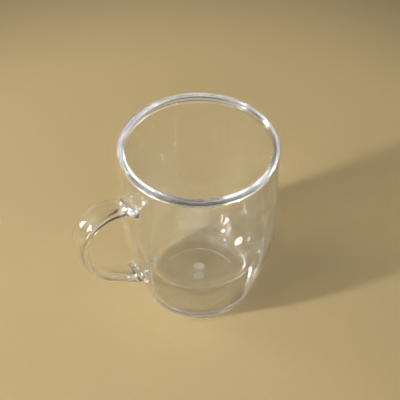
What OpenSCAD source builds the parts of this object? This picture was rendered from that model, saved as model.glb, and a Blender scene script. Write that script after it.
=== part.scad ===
// Clear double-wall mug with an oval strap handle.
// Millimetres, +Z up. The origin is the middle of the foot ring, on the axis of the cup.
// The handle points along -X.

/* [Body] */
// Height from the foot ring to the top of the lip
mug_h = 108; // [98:1:124]
// Widest outside diameter of the body
belly_d = 86.9; // [80:0.1:96]
// Height of the widest place
belly_z = 59; // [50:1:66]
// Radius of the arc that turns the wall in below the widest place
shoulder_r = 120; // [90:1:160]
// Lean of the lower wall from the vertical, in degrees
wall_taper = 15.8; // [11:0.1:18]
// Lean of the upper wall from the vertical, in degrees
wall_draft = 1.1; // [0.5:0.1:2]
// Rounding between the lower wall and the foot ring
foot_corner_r = 3.8; // [2:0.1:5]
// Diameter of the recess inside the foot ring
foot_recess_d = 46; // [36:1:50]
// Depth of the recess inside the foot ring
foot_recess_h = 0.8; // [0.5:0.1:1.5]

/* [Walls] */
// Wall of the outer shell
shell_wall = 1.6; // [1.2:0.1:2.2]
// Floor of the outer shell, above the recess
shell_floor = 1.6; // [1.2:0.1:2.4]
// Rounding inside the outer shell, between its floor and its wall
cavity_corner_r = 10; // [6:0.1:12]
// Wall and floor of the inner cup
cup_wall = 1.6; // [1.2:0.1:2.2]
// Lean of the inner cup's wall from the vertical, in degrees
cup_taper = 4.3; // [3.5:0.1:6]
// Air between the outer shell's floor and the underside of the inner cup
floor_gap = 8.2; // [5:0.1:12]
// Diameter of the flat gate mark in the middle of each moulding
gate_d = 6.6; // [5:0.1:9]
// Depth of the gate mark under the outer shell
gate_h = 0.3; // [0.2:0.05:0.6]

/* [Rim] */
// Height of the lip that covers both walls
lip_h = 1.6; // [1.2:0.1:2.4]
// How far the lip stands out past the outer shell
lip_overhang = 0.45; // [0.2:0.05:0.8]
// Rounding of the lip's two top edges
lip_round = 0.6; // [0.3:0.05:0.9]
// Height of the collar that centres the inner cup in the outer shell
collar_h = 1.6; // [1:0.1:3]
// Gap between the collar and the outer shell, all round
collar_clear = 0.15; // [0.05:0.05:0.3]
// Gap left between the lip and the top of the outer shell
seam_gap = 0.15; // [0.05:0.05:0.3]
// Width of the weld bead and of its groove
weld_w = 0.7; // [0.4:0.05:0.9]
// Depth of the weld groove
weld_h = 0.6; // [0.4:0.05:1]

/* [Handle] */
// Width of the strap, across the handle
strap_w = 14; // [11:0.1:17]
// Thickness of the strap in the middle of its width
strap_t = 5.2; // [4.6:0.1:6.6]
// Rounding of the strap's two edges
strap_edge_r = 1.7; // [1:0.1:2.1]
// How much the strap shrinks all round in its bends, where bending draws it out
bend_thinning = 0.05; // [0.03:0.01:0.2]
// How far the handle stands out from the widest place of the body
handle_reach = 33.4; // [29:0.2:40]
// From the top of the lip down to the middle of the upright grip
handle_drop = 34.5; // [31:0.5:39]
// Length of the upright grip between the two bends
grip_l = 1; // [0.8:0.1:6]
// Bend radius of the strap's middle line above the grip
upper_bend_r = 16.9; // [14:0.1:19]
// Bend radius of the strap's middle line below the grip
lower_bend_r = 35.3; // [30:0.1:38]
// Rise of the upper arm as it leaves the wall, in degrees
upper_arm_rise = 25; // [15:0.5:30]
// Fall of the lower arm as it comes to the wall, in degrees
lower_arm_fall = 36.4; // [30:0.1:40]
// Width of a root, where an arm meets the wall
root_w = 14.8; // [14.2:0.1:18]
// Height of the upper root, up the wall
upper_root_h = 11; // [9.5:0.1:14]
// Height of the lower root, up the wall
lower_root_h = 13.6; // [12.4:0.1:16]
// How far the lower root sits up the wall from the middle of its arm
lower_root_lift = 1.6; // [0.5:0.1:2]
// Length of the flare from the wall along its arm
root_l = 6; // [4:0.1:8]
// Thickness of the cement under each root
bond_t = 0.2; // [0.1:0.05:0.4]

/* [Hidden] */
$fn = 180;

clear_tint = [0.87, 0.91, 0.93, 0.4];
bond_tint = [0.95, 0.95, 0.92, 0.6];
weld_tint = [0.80, 0.85, 0.88, 0.6];

belly_r = belly_d / 2;
gate_r = gate_d / 2;

// How far a straight stretch of a section is tucked inside the arc next to it
arc_tuck = [0.0005, 0];
// How far an arc of a section runs on behind the straight stretch next to it
arc_lap = 1;

// Heights, from the foot ring up
floor_top_z = foot_recess_h + shell_floor;
cup_base_z = floor_top_z + floor_gap;
lip_z = mug_h - lip_h;
collar_z = lip_z - collar_h;
shell_top_z = lip_z - seam_gap;

// Middle of the shoulder arc, and the places where it runs into the upper and lower wall
shoulder_c = belly_r - shoulder_r;
draft_start = [shoulder_c + shoulder_r * cos(wall_draft), belly_z + shoulder_r * sin(wall_draft)];
taper_start = [shoulder_c + shoulder_r * cos(wall_taper), belly_z - shoulder_r * sin(wall_taper)];

// Radii at the rim, from the outside in
shell_top_r = wall_r(shell_top_z);
shell_mouth_r = shell_top_r - shell_wall / cos(wall_draft);
weld_r = (shell_top_r + shell_mouth_r) / 2;
lip_r = shell_top_r + lip_overhang;
collar_r = shell_mouth_r - collar_clear;
mouth_r = collar_r - cup_wall / cos(cup_taper);

// Arc of the bowl, which leaves the gate mark level and runs into the leaning wall below the collar
bowl_rise = 1 / cos(cup_taper) - tan(cup_taper);
bowl_r = (collar_r - gate_r - (collar_z - cup_base_z) * tan(cup_taper)) / bowl_rise;
bowl_z = cup_base_z + bowl_r;

// Arc of the strap's two broad faces, tangent to its rounded edges
edge_y = strap_w / 2 - strap_edge_r;
face_sag = strap_t / 2 - strap_edge_r;
face_r = (edge_y * edge_y + face_sag * (strap_t / 2 + strap_edge_r)) / (2 * face_sag);

// Middle line of the handle as [distance from the axis, height]
grip = [belly_r + handle_reach - strap_t / 2, mug_h - handle_drop];
upper_bend_c = [grip.x - upper_bend_r, grip.y + grip_l / 2];
lower_bend_c = [grip.x - lower_bend_r, grip.y - grip_l / 2];
upper_bend_deg = 90 + upper_arm_rise;
lower_bend_deg = 90 - lower_arm_fall;
upper_arm_out = [cos(upper_arm_rise), sin(upper_arm_rise)];
lower_arm_out = [cos(lower_arm_fall), sin(lower_arm_fall)];
upper_arm_end = upper_bend_c + upper_bend_r * [cos(upper_bend_deg), sin(upper_bend_deg)];
lower_arm_end = lower_bend_c + lower_bend_r * [cos(lower_bend_deg), -sin(lower_bend_deg)];
upper_root = wall_hit(upper_arm_end, upper_arm_out, 0, grip.x);
lower_root = wall_hit(lower_arm_end, lower_arm_out, 0, grip.x);
// How deep a root runs on behind the wall before it is cut to the wall's curve
root_sink = 1.5;
// Sides of the round outlines that a root is stretched between
root_sides = 32;
// How far a straight stretch runs on into a bend
bend_lap = 0.3;
// Thickness of the slabs that a root is stretched between
slab_t = 0.01;

// Outside radius of the body at a height above the foot's rounding
function wall_r(z) =
    z > draft_start.y ? draft_start.x - (z - draft_start.y) * tan(wall_draft)
    : z > taper_start.y ? shoulder_c + sqrt(shoulder_r * shoulder_r - (z - belly_z) * (z - belly_z))
    : taper_start.x - (taper_start.y - z) * tan(wall_taper);

// Direction that the wall faces at a height, as [outwards, up]
function wall_out(z) =
    z > draft_start.y ? [cos(wall_draft), sin(wall_draft)]
    : z > taper_start.y ? [wall_r(z) - shoulder_c, z - belly_z] / shoulder_r
    : [cos(wall_taper), -sin(wall_taper)];

// Point where a line that runs inwards from p meets the body, found by halving [near, far]
function wall_hit(p, out, near, far, steps = 40) =
    let (middle = (near + far) / 2, q = p - middle * out)
    steps == 0 ? q
    : q.x > wall_r(q.y) ? wall_hit(p, out, middle, far, steps - 1)
    : wall_hit(p, out, near, middle, steps - 1);

// Box of a section, between two corners
module box(low, high) {
    polygon([low, [high.x, low.y], high, [low.x, high.y]]);
}

// Half section of a cone band that reaches the axis
module band(low, high) {
    polygon([[0, low.y], low, high, [0, high.y]]);
}

// Half section of the filled body, set in from the outside face
module body_section(inset, base_z, corner_r) {
    arc_r = shoulder_r - inset;
    low = [shoulder_c + arc_r * cos(wall_taper), belly_z - arc_r * sin(wall_taper)];
    high = [shoulder_c + arc_r * cos(wall_draft), belly_z + arc_r * sin(wall_draft)];
    top = [high.x - (shell_top_z - high.y) * tan(wall_draft), shell_top_z];
    corner_z = base_z + corner_r;
    corner_x = low.x - (low.y - corner_z) * tan(wall_taper) - corner_r / cos(wall_taper);
    tangent = [corner_x + corner_r * cos(wall_taper), corner_z - corner_r * sin(wall_taper)];

    box([0, base_z], [corner_x, corner_z]);
    intersection() {
        translate([corner_x, corner_z]) circle(corner_r);
        box([corner_x, base_z - corner_r], [corner_x + 2 * corner_r, corner_z]);
    }
    band(tangent - arc_tuck, low - arc_tuck);
    intersection() {
        translate([shoulder_c, belly_z]) circle(arc_r, $fn = 720);
        box([0, low.y - arc_lap], [belly_d, high.y + arc_lap]);
    }
    band(high - arc_tuck, top);
}

// Half section of the filled inner cup, set in from its outside face and cut to its neck
module cup_section(inset, neck_r) {
    arc_r = bowl_r - inset;
    base_z = cup_base_z + inset;
    tangent = [gate_r + arc_r * cos(cup_taper), bowl_z - arc_r * sin(cup_taper)];
    top = [tangent.x + (lip_z - tangent.y) * tan(cup_taper), lip_z];

    box([0, base_z + arc_tuck.x], [gate_r, bowl_z]);
    intersection() {
        translate([gate_r, bowl_z]) circle(arc_r, $fn = 360);
        box([gate_r - arc_lap, 0], [gate_r + bowl_r, tangent.y + arc_lap]);
    }
    intersection() {
        band(tangent - arc_tuck, top);
        box([0, 0], [neck_r, lip_z]);
    }
}

// Half section of the lip ring, with its two top edges rounded
module lip_section() {
    round_z = mug_h - lip_round;
    box([mouth_r, lip_z], [lip_r, round_z]);
    box([mouth_r + lip_round, lip_z], [lip_r - lip_round, mug_h]);
    for (x = [mouth_r + lip_round, lip_r - lip_round]) {
        translate([x, round_z]) circle(lip_round, $fn = 48);
    }
}

// Half section of the weld bead, or of its groove, up to a height
module weld_section(top_z) {
    box([weld_r - weld_w / 2, shell_top_z - weld_h], [weld_r + weld_w / 2, top_z]);
}

// Oval section of the strap: two shallow arcs for its faces, two round edges
module strap_section(shrink = 0) {
    arc_r = face_r - shrink - arc_tuck.x;
    edge_r = strap_edge_r - shrink;
    tangent_y = edge_y * arc_r / (arc_r - edge_r);
    intersection() {
        translate([strap_t / 2 - face_r, 0]) circle(arc_r);
        translate([face_r - strap_t / 2, 0]) circle(arc_r);
        square([strap_t, 2 * tangent_y], center = true);
    }
    for (side = [-1, 1]) {
        translate([0, side * edge_y]) circle(edge_r, $fn = root_sides);
    }
}

// Puts what stands on +Z at a place in the handle's plane, pointing along an arm
module along_arm(place, out) {
    translate([-place.x, 0, place.y]) rotate([0, -atan2(out.x, out.y), 0]) children();
}

// A straight stretch of the strap, from before a place to past an end
module straight(place, out, end, before, past) {
    length = norm(end - place) + before + past;
    along_arm(place, out) translate([0, 0, -before]) linear_extrude(length) strap_section();
}

// A bend of the strap in the handle's plane, from one angle to the next
module bend(middle, radius, from_deg, turn_deg) {
    mirror([1, 0, 0]) translate([middle.x, 0, middle.y]) rotate([90, 0, 0])
        rotate_extrude(angle = turn_deg, start = from_deg)
            translate([radius, 0]) strap_section(bend_thinning);
}

// A flared root: from the strap at the flare's length to a broad oval behind the wall
module root(place, out, height, lift) {
    facing = wall_out(place.y);
    foot = place - out * root_sink / (out * facing) + lift * [-facing.y, facing.x];
    hull() {
        along_arm(place + out * root_l, out) linear_extrude(slab_t) strap_section(bend_thinning);
        along_arm(foot, facing) linear_extrude(slab_t)
            scale([height / root_w, 1]) circle(d = root_w, $fn = root_sides);
    }
}

module upper_root_flare() {
    root(upper_root, upper_arm_out, upper_root_h, 0);
}

module lower_root_flare() {
    root(lower_root, lower_arm_out, lower_root_h, lower_root_lift);
}

// The body's outside filled solid, grown by a skin
module body_solid(skin) {
    rotate_extrude() body_section(-skin, 0, foot_corner_r);
}

// Layer of cement between the wall and the root given to it
module bond() {
    intersection() {
        children();
        difference() {
            body_solid(bond_t);
            body_solid(0);
        }
    }
}

module outer_shell() {
    color(clear_tint) rotate_extrude() difference() {
        body_section(0, 0, foot_corner_r);
        body_section(shell_wall, floor_top_z, cavity_corner_r);
        box([0, 0], [foot_recess_d / 2, foot_recess_h]);
        box([0, 0], [gate_r, foot_recess_h + gate_h]);
        weld_section(shell_top_z);
    }
}

module inner_cup() {
    color(clear_tint) rotate_extrude() {
        difference() {
            cup_section(0, collar_r);
            cup_section(cup_wall, mouth_r);
        }
        lip_section();
    }
}

module rim_weld() {
    color(weld_tint) rotate_extrude() weld_section(lip_z);
}

module handle() {
    color(clear_tint) difference() {
        union() {
            bend(upper_bend_c, upper_bend_r, 0, upper_bend_deg);
            bend(lower_bend_c, lower_bend_r, -lower_bend_deg, lower_bend_deg);
            straight(grip - [0, grip_l / 2], [0, 1], grip + [0, grip_l / 2], bend_lap, bend_lap);
            straight(upper_root, upper_arm_out, upper_arm_end, 0, bend_lap);
            straight(lower_root, lower_arm_out, lower_arm_end, 0, bend_lap);
            upper_root_flare();
            lower_root_flare();
        }
        body_solid(bond_t);
    }
}

module upper_handle_bond() {
    color(bond_tint) bond() upper_root_flare();
}

module lower_handle_bond() {
    color(bond_tint) bond() lower_root_flare();
}

outer_shell();
inner_cup();
rim_weld();
handle();
upper_handle_bond();
lower_handle_bond();
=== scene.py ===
"""Clear insulated mug: smooth see-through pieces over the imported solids, in a plain studio."""

import logging
import math
from dataclasses import dataclass, field
from enum import Enum

import bpy
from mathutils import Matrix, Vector


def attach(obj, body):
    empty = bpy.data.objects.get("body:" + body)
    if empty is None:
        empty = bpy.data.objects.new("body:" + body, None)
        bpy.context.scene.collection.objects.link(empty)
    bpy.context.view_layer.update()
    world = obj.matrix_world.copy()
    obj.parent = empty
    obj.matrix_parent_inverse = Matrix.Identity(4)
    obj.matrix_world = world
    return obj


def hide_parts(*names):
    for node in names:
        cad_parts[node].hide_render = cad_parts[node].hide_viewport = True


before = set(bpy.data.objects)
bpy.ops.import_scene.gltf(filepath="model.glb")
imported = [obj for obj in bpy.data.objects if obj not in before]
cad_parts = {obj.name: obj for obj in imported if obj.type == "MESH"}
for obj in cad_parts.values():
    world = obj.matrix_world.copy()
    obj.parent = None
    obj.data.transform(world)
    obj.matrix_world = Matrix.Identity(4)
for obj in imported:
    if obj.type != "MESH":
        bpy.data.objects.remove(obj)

log = logging.getLogger("mug")

Point = tuple[float, float]
Colour = tuple[float, float, float]
Nodes = bpy.types.NodeTree
Socket = bpy.types.NodeSocket

BODY = "root"
MM = 0.001
ACROSS = Vector((0.0, 1.0, 0.0))
ACRYLIC_IOR = 1.49
# Steps round the axis of a turned piece
ROUND_STEPS = 256
# Edges that turn by more degrees than this stay crisp
CREASE = 30.0
# Points that are closer than this become one
MERGE = 1e-6
# Times that a stretch is halved to find where an arm meets the wall
HALVINGS = 40


class Slot(Enum):
    """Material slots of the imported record."""

    SHELL = "shell_acrylic"
    CUP = "cup_acrylic"
    WELD = "weld_acrylic"
    HANDLE = "handle_acrylic"
    BOND = "bond_cement"


class Grain(Enum):
    """Way in which the flow lines of a moulding run."""

    UP_THE_WALL = "up the wall"
    ALONG_THE_STRAP = "along the strap"


class Keep(Enum):
    """Part of a piece that a cut keeps."""

    OUTSIDE = "DIFFERENCE"
    INSIDE = "INTERSECT"


def arc(centre: Point, radius: float, start: float, end: float, steps: int) -> list[Point]:
    """Points on an arc of a section.

    Args:
        centre: Middle of the arc, as (distance from the axis, height).
        radius: Radius of the arc.
        start: Angle of the first point, in degrees from the outward direction.
        end: Angle of the last point, in degrees.
        steps: Number of equal steps between them.

    Returns:
        The points, both ends included.
    """
    turns = [math.radians(start + (end - start) * i / steps) for i in range(steps + 1)]
    return [(centre[0] + radius * math.cos(t), centre[1] + radius * math.sin(t)) for t in turns]


def line(first: Point, last: Point, steps: int) -> list[Point]:
    """Points on a straight stretch of a section, without its two ends.

    Args:
        first: Start of the stretch.
        last: End of the stretch.
        steps: Number of equal steps along it.

    Returns:
        The points between the ends.
    """
    return [
        (first[0] + (last[0] - first[0]) * i / steps, first[1] + (last[1] - first[1]) * i / steps)
        for i in range(1, steps)
    ]


def in_plane(place: Point) -> Vector:
    """Place in the handle's plane of a point given as (distance from the axis, height)."""
    return Vector((-place[0], 0.0, place[1]))


def start_outline(name: str, places: list[Vector], closed: bool) -> bpy.types.Object:
    """Lay a ring of points along an outline, open or closed.

    Args:
        name: Name of the new object.
        places: Points of the outline, in order.
        closed: Whether the last point joins the first.

    Returns:
        The object, in object mode, holding the outline's points and edges only.
    """
    bpy.ops.object.select_all(action="DESELECT")
    bpy.ops.mesh.primitive_circle_add(vertices=len(places), fill_type="NOTHING")
    piece = bpy.context.object
    piece.name = name
    piece.data.name = name
    for vertex, place in zip(piece.data.vertices, places):
        vertex.co = place
    if not closed:
        last = len(places) - 1
        for vertex in piece.data.vertices:
            vertex.select = False
        for edge in piece.data.edges:
            edge.select = set(edge.vertices) == {0, last}
        bpy.ops.object.mode_set(mode="EDIT")
        bpy.ops.mesh.select_mode(type="EDGE")
        bpy.ops.mesh.delete(type="EDGE_FACE")
        bpy.ops.object.mode_set(mode="OBJECT")
    return piece


def turn_solid(name: str, section: list[Point], closed: bool) -> bpy.types.Object:
    """Turn a half section about the cup's axis into a closed solid.

    Args:
        name: Name of the new object.
        section: Points of the half section, as (distance from the axis, height).
        closed: Whether the section is a closed loop off the axis.

    Returns:
        The finished solid, with its normals outwards.
    """
    piece = start_outline(name, [Vector((r, 0.0, z)) for r, z in section], closed)
    lathe = piece.modifiers.new("lathe", "SCREW")
    lathe.axis = "Z"
    lathe.angle = math.tau
    lathe.steps = lathe.render_steps = ROUND_STEPS
    pick(piece)
    bpy.ops.object.modifier_apply(modifier=lathe.name)
    bpy.ops.object.mode_set(mode="EDIT")
    bpy.ops.mesh.select_all(action="SELECT")
    bpy.ops.mesh.remove_doubles(threshold=MERGE)
    bpy.ops.mesh.normals_make_consistent(inside=False)
    bpy.ops.object.mode_set(mode="OBJECT")
    return piece


def pick(piece: bpy.types.Object) -> None:
    """Select one object alone and make it the active one.

    Args:
        piece: The object.
    """
    bpy.ops.object.select_all(action="DESELECT")
    piece.select_set(True)
    bpy.context.view_layer.objects.active = piece


def smooth(piece: bpy.types.Object) -> None:
    """Shade a piece smooth, with its sharp edges kept crisp."""
    pick(piece)
    bpy.ops.object.shade_smooth_by_angle(angle=math.radians(CREASE))


def cut(piece: bpy.types.Object, tool: bpy.types.Object, keep: Keep) -> None:
    """Cut a piece with another solid and apply the result.

    Args:
        piece: The piece to cut.
        tool: The solid to cut with, which is removed afterwards.
        keep: Which part of the piece stays.
    """
    modifier = piece.modifiers.new("cut", "BOOLEAN")
    modifier.operation = keep.value
    modifier.solver = "EXACT"
    modifier.object = tool
    pick(piece)
    bpy.ops.object.modifier_apply(modifier=modifier.name)
    bpy.data.objects.remove(tool)


def new_material(name: str) -> tuple[bpy.types.Material, bpy.types.ShaderNodeBsdfPrincipled]:
    """Make a node material.

    Args:
        name: Name of the material.

    Returns:
        The new material and its shader.
    """
    material = bpy.data.materials.new(name)
    material.use_nodes = True
    return material, material.node_tree.nodes["Principled BSDF"]


def map_range(tree: Nodes, value: Socket, source: Point, target: Point, soft: bool = False) -> Socket:
    """Map a value from one range on to another.

    Args:
        tree: Nodes of the material or of the dome.
        value: The value.
        source: Two ends of the value's range.
        target: What the two ends become.
        soft: Whether the value eases in and out between them.

    Returns:
        The mapped value.
    """
    node = tree.nodes.new("ShaderNodeMapRange")
    node.interpolation_type = "SMOOTHSTEP" if soft else "LINEAR"
    node.inputs["From Min"].default_value, node.inputs["From Max"].default_value = source
    node.inputs["To Min"].default_value, node.inputs["To Max"].default_value = target
    tree.links.new(value, node.inputs["Value"])
    return node.outputs["Result"]


@dataclass(frozen=True)
class Noise:
    """Noise of a finish: its scale, its octaves and the weight of the finer ones."""

    scale: float
    octaves: float
    weight: float

    def add(self, tree: Nodes, coords: Socket) -> Socket:
        """Add the noise to a material.

        Args:
            tree: The material's nodes.
            coords: Coordinates that the noise reads.

        Returns:
            The noise's value.
        """
        node = tree.nodes.new("ShaderNodeTexNoise")
        node.inputs["Scale"].default_value = self.scale
        node.inputs["Detail"].default_value = self.octaves
        node.inputs["Roughness"].default_value = self.weight
        tree.links.new(coords, node.inputs["Vector"])
        return node.outputs["Fac"]


@dataclass(frozen=True)
class ClearAcrylic:
    """Clear moulded acrylic with faint flow lines, rubbed hairlines and a little dust."""

    name: str
    grain: Grain
    tint: Colour = (0.985, 0.992, 0.995)
    gloss: float = 0.0
    rubbed: float = 0.25
    rub_band: Point = (0.6, 0.78)
    dust: float = 0.04
    dust_spread: float = 0.3
    wave_mm: float = 0.2
    flow_mm: float = 0.012
    scale_across: float = 900.0
    scale_up: float = 12.0
    scale_along: float = 30.0
    hairlines: Noise = Noise(1.0, 6.0, 0.6)
    flow: Noise = Noise(0.35, 2.0, 0.5)
    wave: Noise = Noise(55.0, 1.0, 0.4)

    def material(self) -> bpy.types.Material:
        """Make the node material of this finish.

        Returns:
            The new material.
        """
        material, shader = new_material(self.name)
        tree = material.node_tree
        shader.inputs["Base Color"].default_value = (*self.tint, 1.0)
        shader.inputs["IOR"].default_value = ACRYLIC_IOR
        shader.inputs["Transmission Weight"].default_value = 1.0
        shader.inputs["Sheen Weight"].default_value = self.dust
        shader.inputs["Sheen Roughness"].default_value = self.dust_spread
        coords = tree.nodes.new("ShaderNodeTexCoord").outputs["Object"]
        drawn = self.draw_out(tree, coords)
        rub = map_range(tree, self.hairlines.add(tree, drawn), self.rub_band, (self.gloss, self.rubbed))
        tree.links.new(rub, shader.inputs["Roughness"])
        broad = self.ripple(tree, self.wave.add(tree, coords), self.wave_mm)
        fine = self.ripple(tree, self.flow.add(tree, drawn), self.flow_mm)
        tree.links.new(broad.outputs["Normal"], fine.inputs["Normal"])
        tree.links.new(fine.outputs["Normal"], shader.inputs["Normal"])
        return material

    def draw_out(self, tree: Nodes, coords: Socket) -> Socket:
        """Stretch the coordinates along the moulding's flow.

        Args:
            tree: The material's nodes.
            coords: Object coordinates.

        Returns:
            Coordinates in which noise is drawn out along the flow.
        """
        scale = tree.nodes.new("ShaderNodeVectorMath")
        scale.operation = "MULTIPLY"
        scale.inputs[1].default_value = {
            Grain.UP_THE_WALL: (self.scale_across, self.scale_across, self.scale_up),
            Grain.ALONG_THE_STRAP: (self.scale_along, self.scale_across, self.scale_along),
        }[self.grain]
        tree.links.new(coords, scale.inputs[0])
        return scale.outputs["Vector"]

    def ripple(self, tree: Nodes, height: Socket, depth_mm: float) -> bpy.types.ShaderNodeBump:
        """Ripple the surface with a noise.

        Args:
            tree: The material's nodes.
            height: The noise.
            depth_mm: Depth of the ripple.

        Returns:
            The node that gives the surface its normal.
        """
        bump = tree.nodes.new("ShaderNodeBump")
        bump.inputs["Strength"].default_value = 1.0
        bump.inputs["Distance"].default_value = depth_mm * MM
        tree.links.new(height, bump.inputs["Height"])
        return bump


@dataclass(frozen=True)
class FrostedAcrylic:
    """Whitish frosted face of a gate mark, left where the moulding was cut off."""

    name: str
    tint: Colour = (0.94, 0.94, 0.92)
    blur: float = 0.6
    clearness: float = 0.78

    def material(self) -> bpy.types.Material:
        """Make the node material of this finish.

        Returns:
            The new material.
        """
        material, shader = new_material(self.name)
        shader.inputs["Base Color"].default_value = (*self.tint, 1.0)
        shader.inputs["Roughness"].default_value = self.blur
        shader.inputs["IOR"].default_value = ACRYLIC_IOR
        shader.inputs["Transmission Weight"].default_value = self.clearness
        return material


def frost_gate(piece: bpy.types.Object, radius: float, between: Point, frost: FrostedAcrylic) -> None:
    """Give the gate mark of a piece its frosted face.

    Args:
        piece: The piece, which already has its clear finish.
        radius: Radius of the gate mark.
        between: Heights between which its face lies.
        frost: The frosted finish.
    """
    piece.data.materials.append(frost.material())
    for face in piece.data.polygons:
        if between[0] < face.center.z < between[1] and face.center.xy.length < radius:
            face.material_index = 1


@dataclass
class Walls:
    """Sizes of the two walls that more than one piece reads, in metres and degrees."""

    mug_h: float = 108 * MM
    belly_r: float = 43.45 * MM
    belly_z: float = 59 * MM
    shoulder_r: float = 120 * MM
    wall_taper: float = 15.8
    wall_draft: float = 1.1
    lip_h: float = 1.6 * MM
    seam_gap: float = 0.15 * MM
    shell_wall: float = 1.6 * MM
    collar_clear: float = 0.15 * MM
    foot_corner_r: float = 3.8 * MM
    gate_r: float = 3.3 * MM
    weld_w: float = 0.7 * MM
    weld_h: float = 0.6 * MM
    corner_steps: int = 14
    taper_steps: int = 10
    shoulder_steps: int = 36
    draft_steps: int = 16

    @property
    def lip_z(self) -> float:
        """Height of the lip's underside."""
        return self.mug_h - self.lip_h

    @property
    def shell_top_z(self) -> float:
        """Height of the outer shell's top edge."""
        return self.lip_z - self.seam_gap

    @property
    def shell_top_r(self) -> float:
        """Outside radius of the outer shell's top edge."""
        return self.outside()[-1][0]

    @property
    def shell_mouth_r(self) -> float:
        """Inside radius of the outer shell's top edge."""
        return self.shell_top_r - self.shell_wall / math.cos(math.radians(self.wall_draft))

    def body_side(self, inset: float, base_z: float, corner_r: float) -> list[Point]:
        """Side of the body from its floor's edge to the top edge.

        Args:
            inset: How far the side is set in from the outside face.
            base_z: Height of the floor that the side rises from.
            corner_r: Rounding between the floor and the side.

        Returns:
            The points, from the floor up.
        """
        taper = math.radians(self.wall_taper)
        draft = math.radians(self.wall_draft)
        middle = (self.belly_r - self.shoulder_r, self.belly_z)
        shoulder = arc(
            middle, self.shoulder_r - inset, -self.wall_taper, self.wall_draft, self.shoulder_steps
        )
        low, high = shoulder[0], shoulder[-1]
        top = (high[0] - (self.shell_top_z - high[1]) * math.tan(draft), self.shell_top_z)
        corner_z = base_z + corner_r
        corner_x = low[0] - (low[1] - corner_z) * math.tan(taper) - corner_r / math.cos(taper)
        corner = arc((corner_x, corner_z), corner_r, -90, -self.wall_taper, self.corner_steps)
        side = corner + line(corner[-1], low, self.taper_steps) + shoulder
        return side + line(high, top, self.draft_steps) + [top]

    def outside(self, skin: float = 0.0) -> list[Point]:
        """Outside face of the body, grown by a skin."""
        return self.body_side(-skin, 0.0, self.foot_corner_r)

    def wall_r(self, z: float) -> float:
        """Outside radius of the body at a height.

        Args:
            z: The height.

        Returns:
            The radius.
        """
        side = self.outside()
        for (r0, z0), (r1, z1) in zip(side, side[1:]):
            if z0 <= z <= z1:
                return r0 + (r1 - r0) * (z - z0) / (z1 - z0)
        return side[-1][0]


@dataclass
class OuterShell:
    """Tapered outer wall with its floor, foot ring, recess and gate mark."""

    walls: Walls
    recess_r: float = 23 * MM
    recess_h: float = 0.8 * MM
    recess_edge_r: float = 0.12 * MM
    floor_t: float = 1.6 * MM
    cavity_corner_r: float = 10 * MM
    gate_h: float = 0.3 * MM
    gate_lean: float = 0.05 * MM
    recess_steps: int = 8
    edge_steps: int = 4
    ring_steps: int = 3
    floor_steps: int = 10

    def build(self) -> bpy.types.Object:
        """Turn the shell's section.

        Returns:
            The shell.
        """
        walls = self.walls
        floor_z = self.recess_h + self.floor_t
        gate_z = self.recess_h + self.gate_h
        outside = walls.outside()
        inside = walls.body_side(walls.shell_wall, floor_z, self.cavity_corner_r)
        top_z = walls.shell_top_z
        groove_z = top_z - walls.weld_h
        middle = (outside[-1][0] + inside[-1][0]) / 2
        groove = [middle + walls.weld_w / 2, middle - walls.weld_w / 2]
        edge = self.recess_edge_r
        section = [(0.0, gate_z), (walls.gate_r / 2, gate_z), (walls.gate_r, gate_z)]
        section += [(walls.gate_r + self.gate_lean, self.recess_h)]
        section += line(section[-1], (self.recess_r, self.recess_h), self.recess_steps)
        section += [(self.recess_r, self.recess_h)]
        section += arc((self.recess_r + edge, edge), edge, 180, 270, self.edge_steps)
        section += line(section[-1], outside[0], self.ring_steps) + outside
        section += [(groove[0], top_z), (groove[0], groove_z), (groove[1], groove_z), (groove[1], top_z)]
        section += inside[::-1]
        section += line(inside[0], (0.0, floor_z), self.floor_steps) + [(0.0, floor_z)]
        shell = turn_solid("outer_shell_clear", section, False)
        smooth(shell)
        return shell

    def dress(self, shell: bpy.types.Object) -> None:
        """Give the shell its finish.

        Args:
            shell: The shell.
        """
        shell.data.materials.append(ClearAcrylic("shell clear acrylic", Grain.UP_THE_WALL).material())
        underside = (self.recess_h, self.recess_h + self.floor_t / 2)
        frost_gate(shell, self.walls.gate_r, underside, FrostedAcrylic("shell gate mark"))


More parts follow.
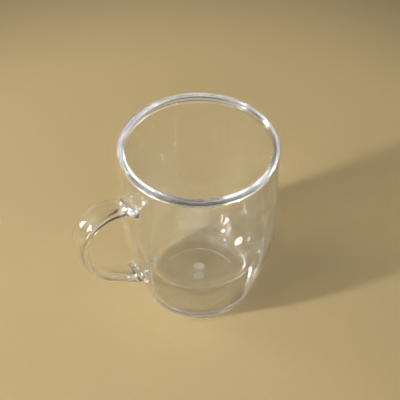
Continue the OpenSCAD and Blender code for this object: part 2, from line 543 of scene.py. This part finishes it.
@dataclass
class InnerCup:
    """Bowl-shaped inner wall, hung from the lip that covers both walls."""

    walls: Walls
    cup_wall: float = 1.6 * MM
    cup_taper: float = 4.3
    base_z: float = 10.6 * MM
    collar_h: float = 1.6 * MM
    groove_r: float = 0.7 * MM
    lip_overhang: float = 0.45 * MM
    lip_round: float = 0.6 * MM
    middle_steps: int = 3
    bowl_steps: int = 40
    wall_steps: int = 30
    groove_steps: int = 10
    lip_steps: int = 8
    lip_top_steps: int = 4

    def side(self, inset: float, bowl_r: float, neck: Point) -> list[Point]:
        """Side of the cup from its flat middle to its neck.

        Args:
            inset: How far the side is set in from the cup's outside.
            bowl_r: Radius of the bowl's arc on the outside.
            neck: Upper end of the leaning wall.

        Returns:
            The points, from the axis up.
        """
        middle = (self.walls.gate_r, self.base_z + bowl_r)
        bowl = arc(middle, bowl_r - inset, -90, -self.cup_taper, self.bowl_steps)
        start = (0.0, self.base_z + inset)
        flat = [start] + line(start, bowl[0], self.middle_steps)
        return flat + bowl + line(bowl[-1], neck, self.wall_steps) + [neck]

    def build(self) -> bpy.types.Object:
        """Turn the cup's section.

        Returns:
            The cup.
        """
        walls = self.walls
        taper = math.radians(self.cup_taper)
        collar_z = walls.lip_z - self.collar_h
        collar_r = walls.shell_mouth_r - walls.collar_clear
        mouth_r = collar_r - self.cup_wall / math.cos(taper)
        lip_r = walls.shell_top_r + self.lip_overhang
        rise = 1 / math.cos(taper) - math.tan(taper)
        bowl_r = (collar_r - walls.gate_r - (collar_z - self.base_z) * math.tan(taper)) / rise
        turn = self.lip_round
        turn_z = walls.mug_h - turn
        groove_z = collar_z - self.groove_r
        neck = (collar_r - 2 * self.groove_r * math.tan(taper), groove_z - self.groove_r)
        section = self.side(0.0, bowl_r, neck)
        section += arc((collar_r, groove_z), self.groove_r, 270, 90, self.groove_steps)
        section += [(collar_r, walls.lip_z), (lip_r, walls.lip_z)]
        section += arc((lip_r - turn, turn_z), turn, 0, 90, self.lip_steps)
        section += line(section[-1], (mouth_r + turn, walls.mug_h), self.lip_top_steps)
        section += arc((mouth_r + turn, turn_z), turn, 90, 180, self.lip_steps)
        section += self.side(self.cup_wall, bowl_r, (mouth_r, collar_z))[::-1]
        cup = turn_solid("inner_cup_clear", section, False)
        smooth(cup)
        return cup

    def dress(self, cup: bpy.types.Object) -> None:
        """Give the cup its finish.

        Args:
            cup: The cup.
        """
        cup.data.materials.append(ClearAcrylic("cup clear acrylic", Grain.UP_THE_WALL).material())
        bottom = (self.base_z + self.cup_wall / 2, self.base_z + self.cup_wall * 1.5)
        frost_gate(cup, self.walls.gate_r, bottom, FrostedAcrylic("cup gate mark"))


@dataclass
class RimWeld:
    """Bead that joins the two walls under the lip, a hair smaller than its groove."""

    walls: Walls
    air: float = 0.03 * MM
    corner_r: float = 0.12 * MM
    corner_steps: int = 4
    rubbed: float = 0.2

    def build(self) -> bpy.types.Object:
        """Turn the bead's section.

        Returns:
            The bead.
        """
        walls = self.walls
        middle = (walls.shell_top_r + walls.shell_mouth_r) / 2
        turn = self.corner_r
        low = walls.shell_top_z - walls.weld_h + self.air + turn
        high = walls.lip_z - self.air - turn
        half = walls.weld_w / 2 - self.air - turn
        section: list[Point] = []
        corners = ((half, low), (half, high), (-half, high), (-half, low))
        for quarter, (aside, z) in enumerate(corners):
            start = 90 * (quarter - 1)
            section += arc((middle + aside, z), turn, start, start + 90, self.corner_steps)
        bead = turn_solid("rim_weld_bead", section, True)
        smooth(bead)
        return bead

    def dress(self, bead: bpy.types.Object) -> None:
        """Give the bead its finish."""
        finish = ClearAcrylic("weld clear acrylic", Grain.UP_THE_WALL, rubbed=self.rubbed)
        bead.data.materials.append(finish.material())


@dataclass
class Root:
    """Flared end of the strap on the wall."""

    height: float
    width: float = 14.8 * MM
    lift: float = 0.0
    stand_off: float = 4.5 * MM
    sink: float = 1.2 * MM
    steps: int = 14
    place: Vector = field(default_factory=Vector, init=False)
    heading: Vector = field(default_factory=Vector, init=False)
    facing: Vector = field(default_factory=Vector, init=False)
    arm: float = field(default=0.0, init=False)

    def seat(self, walls: Walls, start: Point, out: Point) -> None:
        """Find where a straight arm meets the wall.

        Args:
            walls: The walls.
            start: End of the arm at its bend.
            out: Outward direction of the arm.
        """
        near, far = 0.0, start[0]
        for _ in range(HALVINGS):
            middle = (near + far) / 2
            spot = (start[0] - middle * out[0], start[1] - middle * out[1])
            near, far = (middle, far) if spot[0] > walls.wall_r(spot[1]) else (near, middle)
        z = start[1] - near * out[1]
        slope = (walls.wall_r(z + MM) - walls.wall_r(z - MM)) / (2 * MM)
        self.place = in_plane((walls.wall_r(z), z))
        self.heading = -in_plane(out)
        self.facing = in_plane((1.0, -slope)).normalized()
        self.arm = near

    def flare(
        self, strap: bpy.types.Object, waist: float, upper: bool, thickness: float, breadth: float
    ) -> None:
        """Cut the strap off before the wall and spread it on to the wall.

        Args:
            strap: The strap, in edit mode.
            waist: Height that parts the strap's upper half from its lower half.
            upper: Whether this root is on the upper half.
            thickness: Thickness of the strap.
            breadth: Width of the strap.
        """
        bpy.ops.object.mode_set(mode="OBJECT")
        for face in strap.data.polygons:
            face.select = (face.center.z > waist) == upper
        bpy.ops.object.mode_set(mode="EDIT")
        bpy.ops.mesh.select_mode(type="FACE")
        bpy.ops.mesh.bisect(
            plane_co=self.place + self.facing * self.stand_off, plane_no=self.facing, clear_inner=True
        )
        bpy.ops.mesh.select_mode(type="EDGE")
        squint = -self.heading.dot(self.facing)
        up = self.facing.cross(ACROSS)
        up *= math.copysign(1.0, up.z)
        drop = (self.stand_off + self.sink) / self.steps
        taller, broader = self.height * squint / thickness - 1, self.width / breadth - 1
        centre = self.place + self.heading * (-self.stand_off / squint)
        last = (1.0, 1.0, 0.0)
        for i in range(1, self.steps + 1):
            share = min(i * drop / self.stand_off, 1.0)
            ease = share * share
            spread = (1 + taller * ease, 1 + broader * ease, self.lift * ease)
            step = self.heading * (drop / squint) + up * (spread[2] - last[2])
            centre = centre + step
            bpy.ops.mesh.extrude_region_move(TRANSFORM_OT_translate={"value": step})
            bpy.ops.transform.resize(
                value=(spread[0] / last[0], spread[1] / last[1], 1.0),
                orient_type="GLOBAL",
                orient_matrix=(tuple(up), tuple(ACROSS), tuple(self.facing)),
                orient_matrix_type="GLOBAL",
                center_override=tuple(centre),
            )
            last = spread


@dataclass
class Handle:
    """Oval strap bent into a loop, flared where it meets the wall at both ends."""

    walls: Walls
    strap_w: float = 14 * MM
    strap_t: float = 5.2 * MM
    edge_r: float = 1.7 * MM
    reach: float = 33.4 * MM
    drop: float = 34.5 * MM
    grip_l: float = 1 * MM
    upper_bend_r: float = 16.9 * MM
    lower_bend_r: float = 35.3 * MM
    upper_rise: float = 25.0
    lower_fall: float = 36.4
    bond_t: float = 0.2 * MM
    air: float = 0.02 * MM
    face_steps: int = 24
    edge_steps: int = 14
    bend_steps: int = 48
    upper_arm_steps: int = 6
    lower_arm_steps: int = 12
    cement_rubbed: float = 0.15
    upper: Root = field(default_factory=lambda: Root(height=11 * MM))
    lower: Root = field(default_factory=lambda: Root(height=13.6 * MM, lift=1.6 * MM))

    @property
    def waist(self) -> float:
        """Height of the middle of the grip."""
        return self.walls.mug_h - self.drop

    def outline(self) -> list[Point]:
        """Outline of the strap: two shallow faces and two round edges.

        Returns:
            Points as (across the thickness, across the width).
        """
        edge_y = self.strap_w / 2 - self.edge_r
        sag = self.strap_t / 2 - self.edge_r
        face_r = (edge_y**2 + sag * (self.strap_t / 2 + self.edge_r)) / (2 * sag)
        face_c = face_r - self.strap_t / 2
        lean = math.degrees(math.atan2(edge_y, face_c))
        outer = arc((-face_c, 0.0), face_r, -lean, lean, self.face_steps)
        far = arc((0.0, edge_y), self.edge_r, lean, 180 - lean, self.edge_steps)
        inner = arc((face_c, 0.0), face_r, 180 - lean, 180 + lean, self.face_steps)
        near = arc((0.0, -edge_y), self.edge_r, 180 + lean, 360 - lean, self.edge_steps)
        return outer[:-1] + far[:-1] + inner[:-1] + near[:-1]

    def sweep(self) -> bpy.types.Object:
        """Run the strap from the wall at the upper root round to the wall at the lower root.

        Returns:
            The strap, open at both ends, in edit mode.
        """
        rise, fall = math.radians(self.upper_rise), math.radians(self.lower_fall)
        grip_u = self.walls.belly_r + self.reach - self.strap_t / 2
        upper_c = (grip_u - self.upper_bend_r, self.waist + self.grip_l / 2)
        lower_c = (grip_u - self.lower_bend_r, self.waist - self.grip_l / 2)
        up_end = arc(upper_c, self.upper_bend_r, 90 + self.upper_rise, 0, 1)[0]
        low_end = arc(lower_c, self.lower_bend_r, self.lower_fall - 90, 0, 1)[0]
        self.upper.seat(self.walls, up_end, (math.cos(rise), math.sin(rise)))
        self.lower.seat(self.walls, low_end, (math.cos(fall), math.sin(fall)))
        ahead = -self.upper.heading
        outward = ACROSS.cross(ahead)
        start = in_plane(up_end) - ahead * self.upper.arm
        places = [start + outward * t + ACROSS * w for t, w in self.outline()]
        strap = start_outline("handle_strap", places, True)
        bpy.ops.object.mode_set(mode="EDIT")
        bpy.ops.mesh.select_mode(type="EDGE")
        bpy.ops.mesh.select_all(action="SELECT")
        self.run(ahead * self.upper.arm, self.upper_arm_steps)
        self.bend(upper_c, 90 + self.upper_rise)
        self.run(Vector((0.0, 0.0, -self.grip_l)), 1)
        self.bend(lower_c, 90 - self.lower_fall)
        self.run(self.lower.heading * self.lower.arm, self.lower_arm_steps)
        return strap

    def run(self, way: Vector, steps: int) -> None:
        """Extrude the selected end of the strap straight on."""
        for _ in range(steps):
            bpy.ops.mesh.extrude_region_move(TRANSFORM_OT_translate={"value": way / steps})

    def bend(self, middle: Point, degrees: float) -> None:
        """Spin the selected end of the strap about a bend's middle."""
        bpy.ops.mesh.spin(
            steps=self.bend_steps, angle=math.radians(degrees), center=in_plane(middle), axis=ACROSS
        )

    def build(self) -> list[bpy.types.Object]:
        """Shape the strap and its two layers of cement, and fit them to the wall.

        Returns:
            The strap, the upper layer and the lower layer.
        """
        strap = self.sweep()
        self.upper.flare(strap, self.waist, True, self.strap_t, self.strap_w)
        self.lower.flare(strap, self.waist, False, self.strap_t, self.strap_w)
        bpy.ops.mesh.select_all(action="SELECT")
        bpy.ops.mesh.fill_holes(sides=0)
        bpy.ops.mesh.select_all(action="SELECT")
        bpy.ops.mesh.normals_make_consistent(inside=False)
        bpy.ops.object.mode_set(mode="OBJECT")
        upper = self.layer(strap, "upper_root_cement", True)
        lower = self.layer(strap, "lower_root_cement", False)
        side = self.walls.outside(self.bond_t)
        body = turn_solid("body", [(0.0, 0.0)] + side + [(0.0, side[-1][1])], False)
        cut(strap, body, Keep.OUTSIDE)
        smooth(strap)
        return [strap, upper, lower]

    def layer(self, strap: bpy.types.Object, name: str, upper: bool) -> bpy.types.Object:
        """Cut a root's layer of cement out of a copy of the uncut strap.

        Args:
            strap: The strap, not yet cut to the wall.
            name: Name of the layer.
            upper: Whether it lies under the upper root.

        Returns:
            The layer.
        """
        faces = [self.walls.outside(skin) for skin in (self.bond_t - self.air, self.air)]
        outer, inner = [[spot for spot in face if (spot[1] > self.waist) == upper] for face in faces]
        ring = turn_solid("ring", outer + inner[::-1], True)
        pick(strap)
        bpy.ops.object.duplicate()
        layer = bpy.context.object
        layer.name = name
        layer.data.name = name
        cut(layer, ring, Keep.INSIDE)
        smooth(layer)
        return layer

    def dress(self, strap: bpy.types.Object, layers: list[bpy.types.Object]) -> None:
        """Give the strap and its cement their finishes.

        Args:
            strap: The strap.
            layers: The two layers of cement.
        """
        strap.data.materials.clear()
        strap.data.materials.append(ClearAcrylic("handle clear acrylic", Grain.ALONG_THE_STRAP).material())
        cement = ClearAcrylic("clear cement", Grain.ALONG_THE_STRAP, rubbed=self.cement_rubbed).material()
        for layer in layers:
            layer.data.materials.clear()
            layer.data.materials.append(cement)


@dataclass(frozen=True)
class Lamp:
    """Soft rectangular lamp, aimed at the mug."""

    name: str
    left: float
    near: float
    high: float
    size: Point
    watts: float

    def hang(self, studio: "Studio") -> None:
        """Place the lamp in the studio.

        Args:
            studio: The studio, which says where the camera's left and near sides are.
        """
        light = bpy.data.lights.new(self.name, "AREA")
        light.shape = "RECTANGLE"
        light.size, light.size_y = self.size
        light.energy = self.watts
        lamp = bpy.data.objects.new(self.name, light)
        bpy.context.scene.collection.objects.link(lamp)
        lamp.location = studio.way(self.left, self.near, self.high)
        lamp.rotation_euler = (studio.target - lamp.location).to_track_quat("-Z", "Y").to_euler()


@dataclass(frozen=True)
class Glow:
    """Soft bright part of the dome: its direction, the cosines of its soft edge and its level."""

    left: float
    near: float
    high: float
    edge: Point
    level: float

    def shine(self, studio: "Studio", tree: Nodes) -> Socket:
        """Add the glow to the dome's nodes.

        Args:
            studio: The studio, which says where the camera's left and near sides are.
            tree: Nodes of the dome.

        Returns:
            Brightness of the glow in each direction.
        """
        closeness = tree.nodes.new("ShaderNodeVectorMath")
        closeness.operation = "DOT_PRODUCT"
        closeness.inputs[1].default_value = studio.way(self.left, self.near, self.high).normalized()
        tree.links.new(tree.nodes.new("ShaderNodeTexCoord").outputs["Generated"], closeness.inputs[0])
        return map_range(tree, closeness.outputs["Value"], self.edge, (0.0, self.level), soft=True)


@dataclass
class Studio:
    """Pale floor with a painted pool of light round the mug, soft light and the camera."""

    azimuth: float = -33.5
    elevation: float = 45.84
    distance: float = 0.5702
    look_z: float = 66.68 * MM
    lens_mm: float = 92.7
    sensor_mm: float = 36.0
    shift: float = 0.00245
    clip: float = 0.01
    floor_size: float = 12.0
    floor_drop: float = 0.05 * MM
    floor_colour: Colour = (0.44, 0.325, 0.155)
    # Colour of the floor far from the mug, painted shade standing in for light falling off; the next line
    # gives the distances over which the floor fades into it
    floor_painted_shade: Colour = (0.2, 0.15, 0.08)
    painted_pool_edge: Point = (0.2, 0.4)
    floor_rough: float = 0.85
    floor_shine: float = 0.2
    sky_colour: Colour = (0.95, 0.98, 1.0)
    sky_dim: float = 0.03
    glows: tuple[Glow, ...] = (
        Glow(0.0, 0.0, 1.0, (0.3, 0.8), 0.1),
        Glow(0.9, 0.3, 1.0, (0.82, 0.97), 1.5),
        Glow(0.5, 0.8, 0.2, (0.7, 0.95), 0.6),
        Glow(-0.3, 1.0, 0.6, (0.78, 0.97), 1.5),
    )
    lamps: tuple[Lamp, ...] = (
        Lamp("key", 1.05, 0.49, 0.85, (0.1, 0.1), 14.0),
        Lamp("low strip", 0.75, 0.5, 0.3, (0.14, 0.28), 2.0),
        Lamp("edge strip", 0.95, -0.25, 0.3, (0.12, 0.3), 3.5),
    )
    bounces: int = 256

    @property
    def target(self) -> Vector:
        """Point that the camera and the lamps look at."""
        return Vector((0.0, 0.0, self.look_z))

    def way(self, left: float, near: float, high: float) -> Vector:
        """Turn a place given from the camera's side into the part's frame.

        Args:
            left: How far to the left of the picture.
            near: How far towards the camera.
            high: Height.

        Returns:
            The place.
        """
        turn = math.radians(self.azimuth)
        to_camera = Vector((math.sin(turn), -math.cos(turn), 0.0))
        to_left = Vector((to_camera.y, -to_camera.x, 0.0))
        return to_left * left + to_camera * near + Vector((0.0, 0.0, high))

    def build(self) -> None:
        """Lay the floor, hang the lamps, set the dome, the camera and the way of rendering."""
        self.lay_floor()
        for lamp in self.lamps:
            lamp.hang(self)
        self.set_dome()
        self.set_camera()
        self.set_rendering()

    def lay_floor(self) -> None:
        """Lay the floor under the mug."""
        bpy.ops.object.select_all(action="DESELECT")
        bpy.ops.mesh.primitive_plane_add(size=self.floor_size, location=(0.0, 0.0, -self.floor_drop))
        floor = bpy.context.object
        floor.name = "floor"
        floor.data.materials.append(self.floor_paint())

    def floor_paint(self) -> bpy.types.Material:
        """Matt paint of the floor with a painted pool of light: pale round the mug and painted darker far
        away, as painted shade where the light would fall off.

        Returns:
            The material.
        """
        paint, shader = new_material("pale floor")
        tree = paint.node_tree
        shader.inputs["Roughness"].default_value = self.floor_rough
        shader.inputs["Specular IOR Level"].default_value = self.floor_shine
        away = tree.nodes.new("ShaderNodeVectorMath")
        away.operation = "LENGTH"
        tree.links.new(tree.nodes.new("ShaderNodeTexCoord").outputs["Object"], away.inputs[0])
        tone = tree.nodes.new("ShaderNodeMix")
        tone.data_type = "RGBA"
        tone.inputs["A"].default_value = (*self.floor_colour, 1.0)
        tone.inputs["B"].default_value = (*self.floor_painted_shade, 1.0)
        # Painted pool of light: the floor's colour fades into painted shade with distance from the mug
        fade = map_range(tree, away.outputs["Value"], self.painted_pool_edge, (0.0, 1.0), soft=True)
        tree.links.new(fade, tone.inputs["Factor"])
        tree.links.new(tone.outputs["Result"], shader.inputs["Base Color"])
        return paint

    def set_dome(self) -> None:
        """Make a soft dome, dim all over, with its glows added up."""
        world = bpy.data.worlds.new("studio")
        bpy.context.scene.world = world
        world.use_nodes = True
        tree = world.node_tree
        background = tree.nodes["Background"]
        background.inputs["Color"].default_value = (*self.sky_colour, 1.0)
        total: Socket | None = None
        for glow in self.glows:
            add = tree.nodes.new("ShaderNodeMath")
            add.operation = "ADD"
            tree.links.new(glow.shine(self, tree), add.inputs[0])
            if total is None:
                add.inputs[1].default_value = self.sky_dim
            else:
                tree.links.new(total, add.inputs[1])
            total = add.outputs["Value"]
        tree.links.new(total, background.inputs["Strength"])

    def set_camera(self) -> None:
        """Stand the camera at the photograph's viewing angle."""
        lens = bpy.data.cameras.new("camera")
        lens.lens = self.lens_mm
        lens.sensor_width = self.sensor_mm
        lens.shift_x = self.shift
        lens.clip_start = self.clip
        camera = bpy.data.objects.new("camera", lens)
        bpy.context.scene.collection.objects.link(camera)
        tilt = math.radians(self.elevation)
        back = self.way(0.0, math.cos(tilt), math.sin(tilt))
        camera.location = self.target + back * self.distance
        camera.rotation_euler = (-back).to_track_quat("-Z", "Y").to_euler()
        bpy.context.scene.camera = camera

    def set_rendering(self) -> None:
        """Follow light far through the clear walls, and leave its levels as they are."""
        scene = bpy.context.scene
        scene.view_settings.view_transform = "Standard"
        scene.cycles.max_bounces = self.bounces
        scene.cycles.transmission_bounces = self.bounces
        scene.cycles.glossy_bounces = self.bounces
        scene.cycles.blur_glossy = 0.0
        scene.cycles.sample_clamp_indirect = 0.0


def seat_piece(piece: bpy.types.Object, node: str) -> None:
    """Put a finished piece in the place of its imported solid.

    Args:
        piece: The finished piece.
        node: Name of the solid that it stands for.
    """
    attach(piece, BODY)
    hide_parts(node)
    log.info("%s stands for %s: %d faces", piece.name, node, len(piece.data.polygons))


def main() -> None:
    """Build the pieces in order and report each of them."""
    logging.basicConfig(level=logging.INFO, format="%(message)s")
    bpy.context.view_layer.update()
    Studio().build()
    walls = Walls()
    for maker, node, slot in (
        (OuterShell(walls), "outer_shell", Slot.SHELL),
        (InnerCup(walls), "inner_cup", Slot.CUP),
        (RimWeld(walls), "rim_weld", Slot.WELD),
    ):
        piece = maker.build()
        maker.dress(piece)
        seat_piece(piece, node)
    handle = Handle(walls)
    strap, upper, lower = handle.build()
    handle.dress(strap, [upper, lower])
    seat_piece(strap, "handle")
    seat_piece(upper, "upper_handle_bond")
    seat_piece(lower, "lower_handle_bond")


if __name__ == "__main__":
    main()
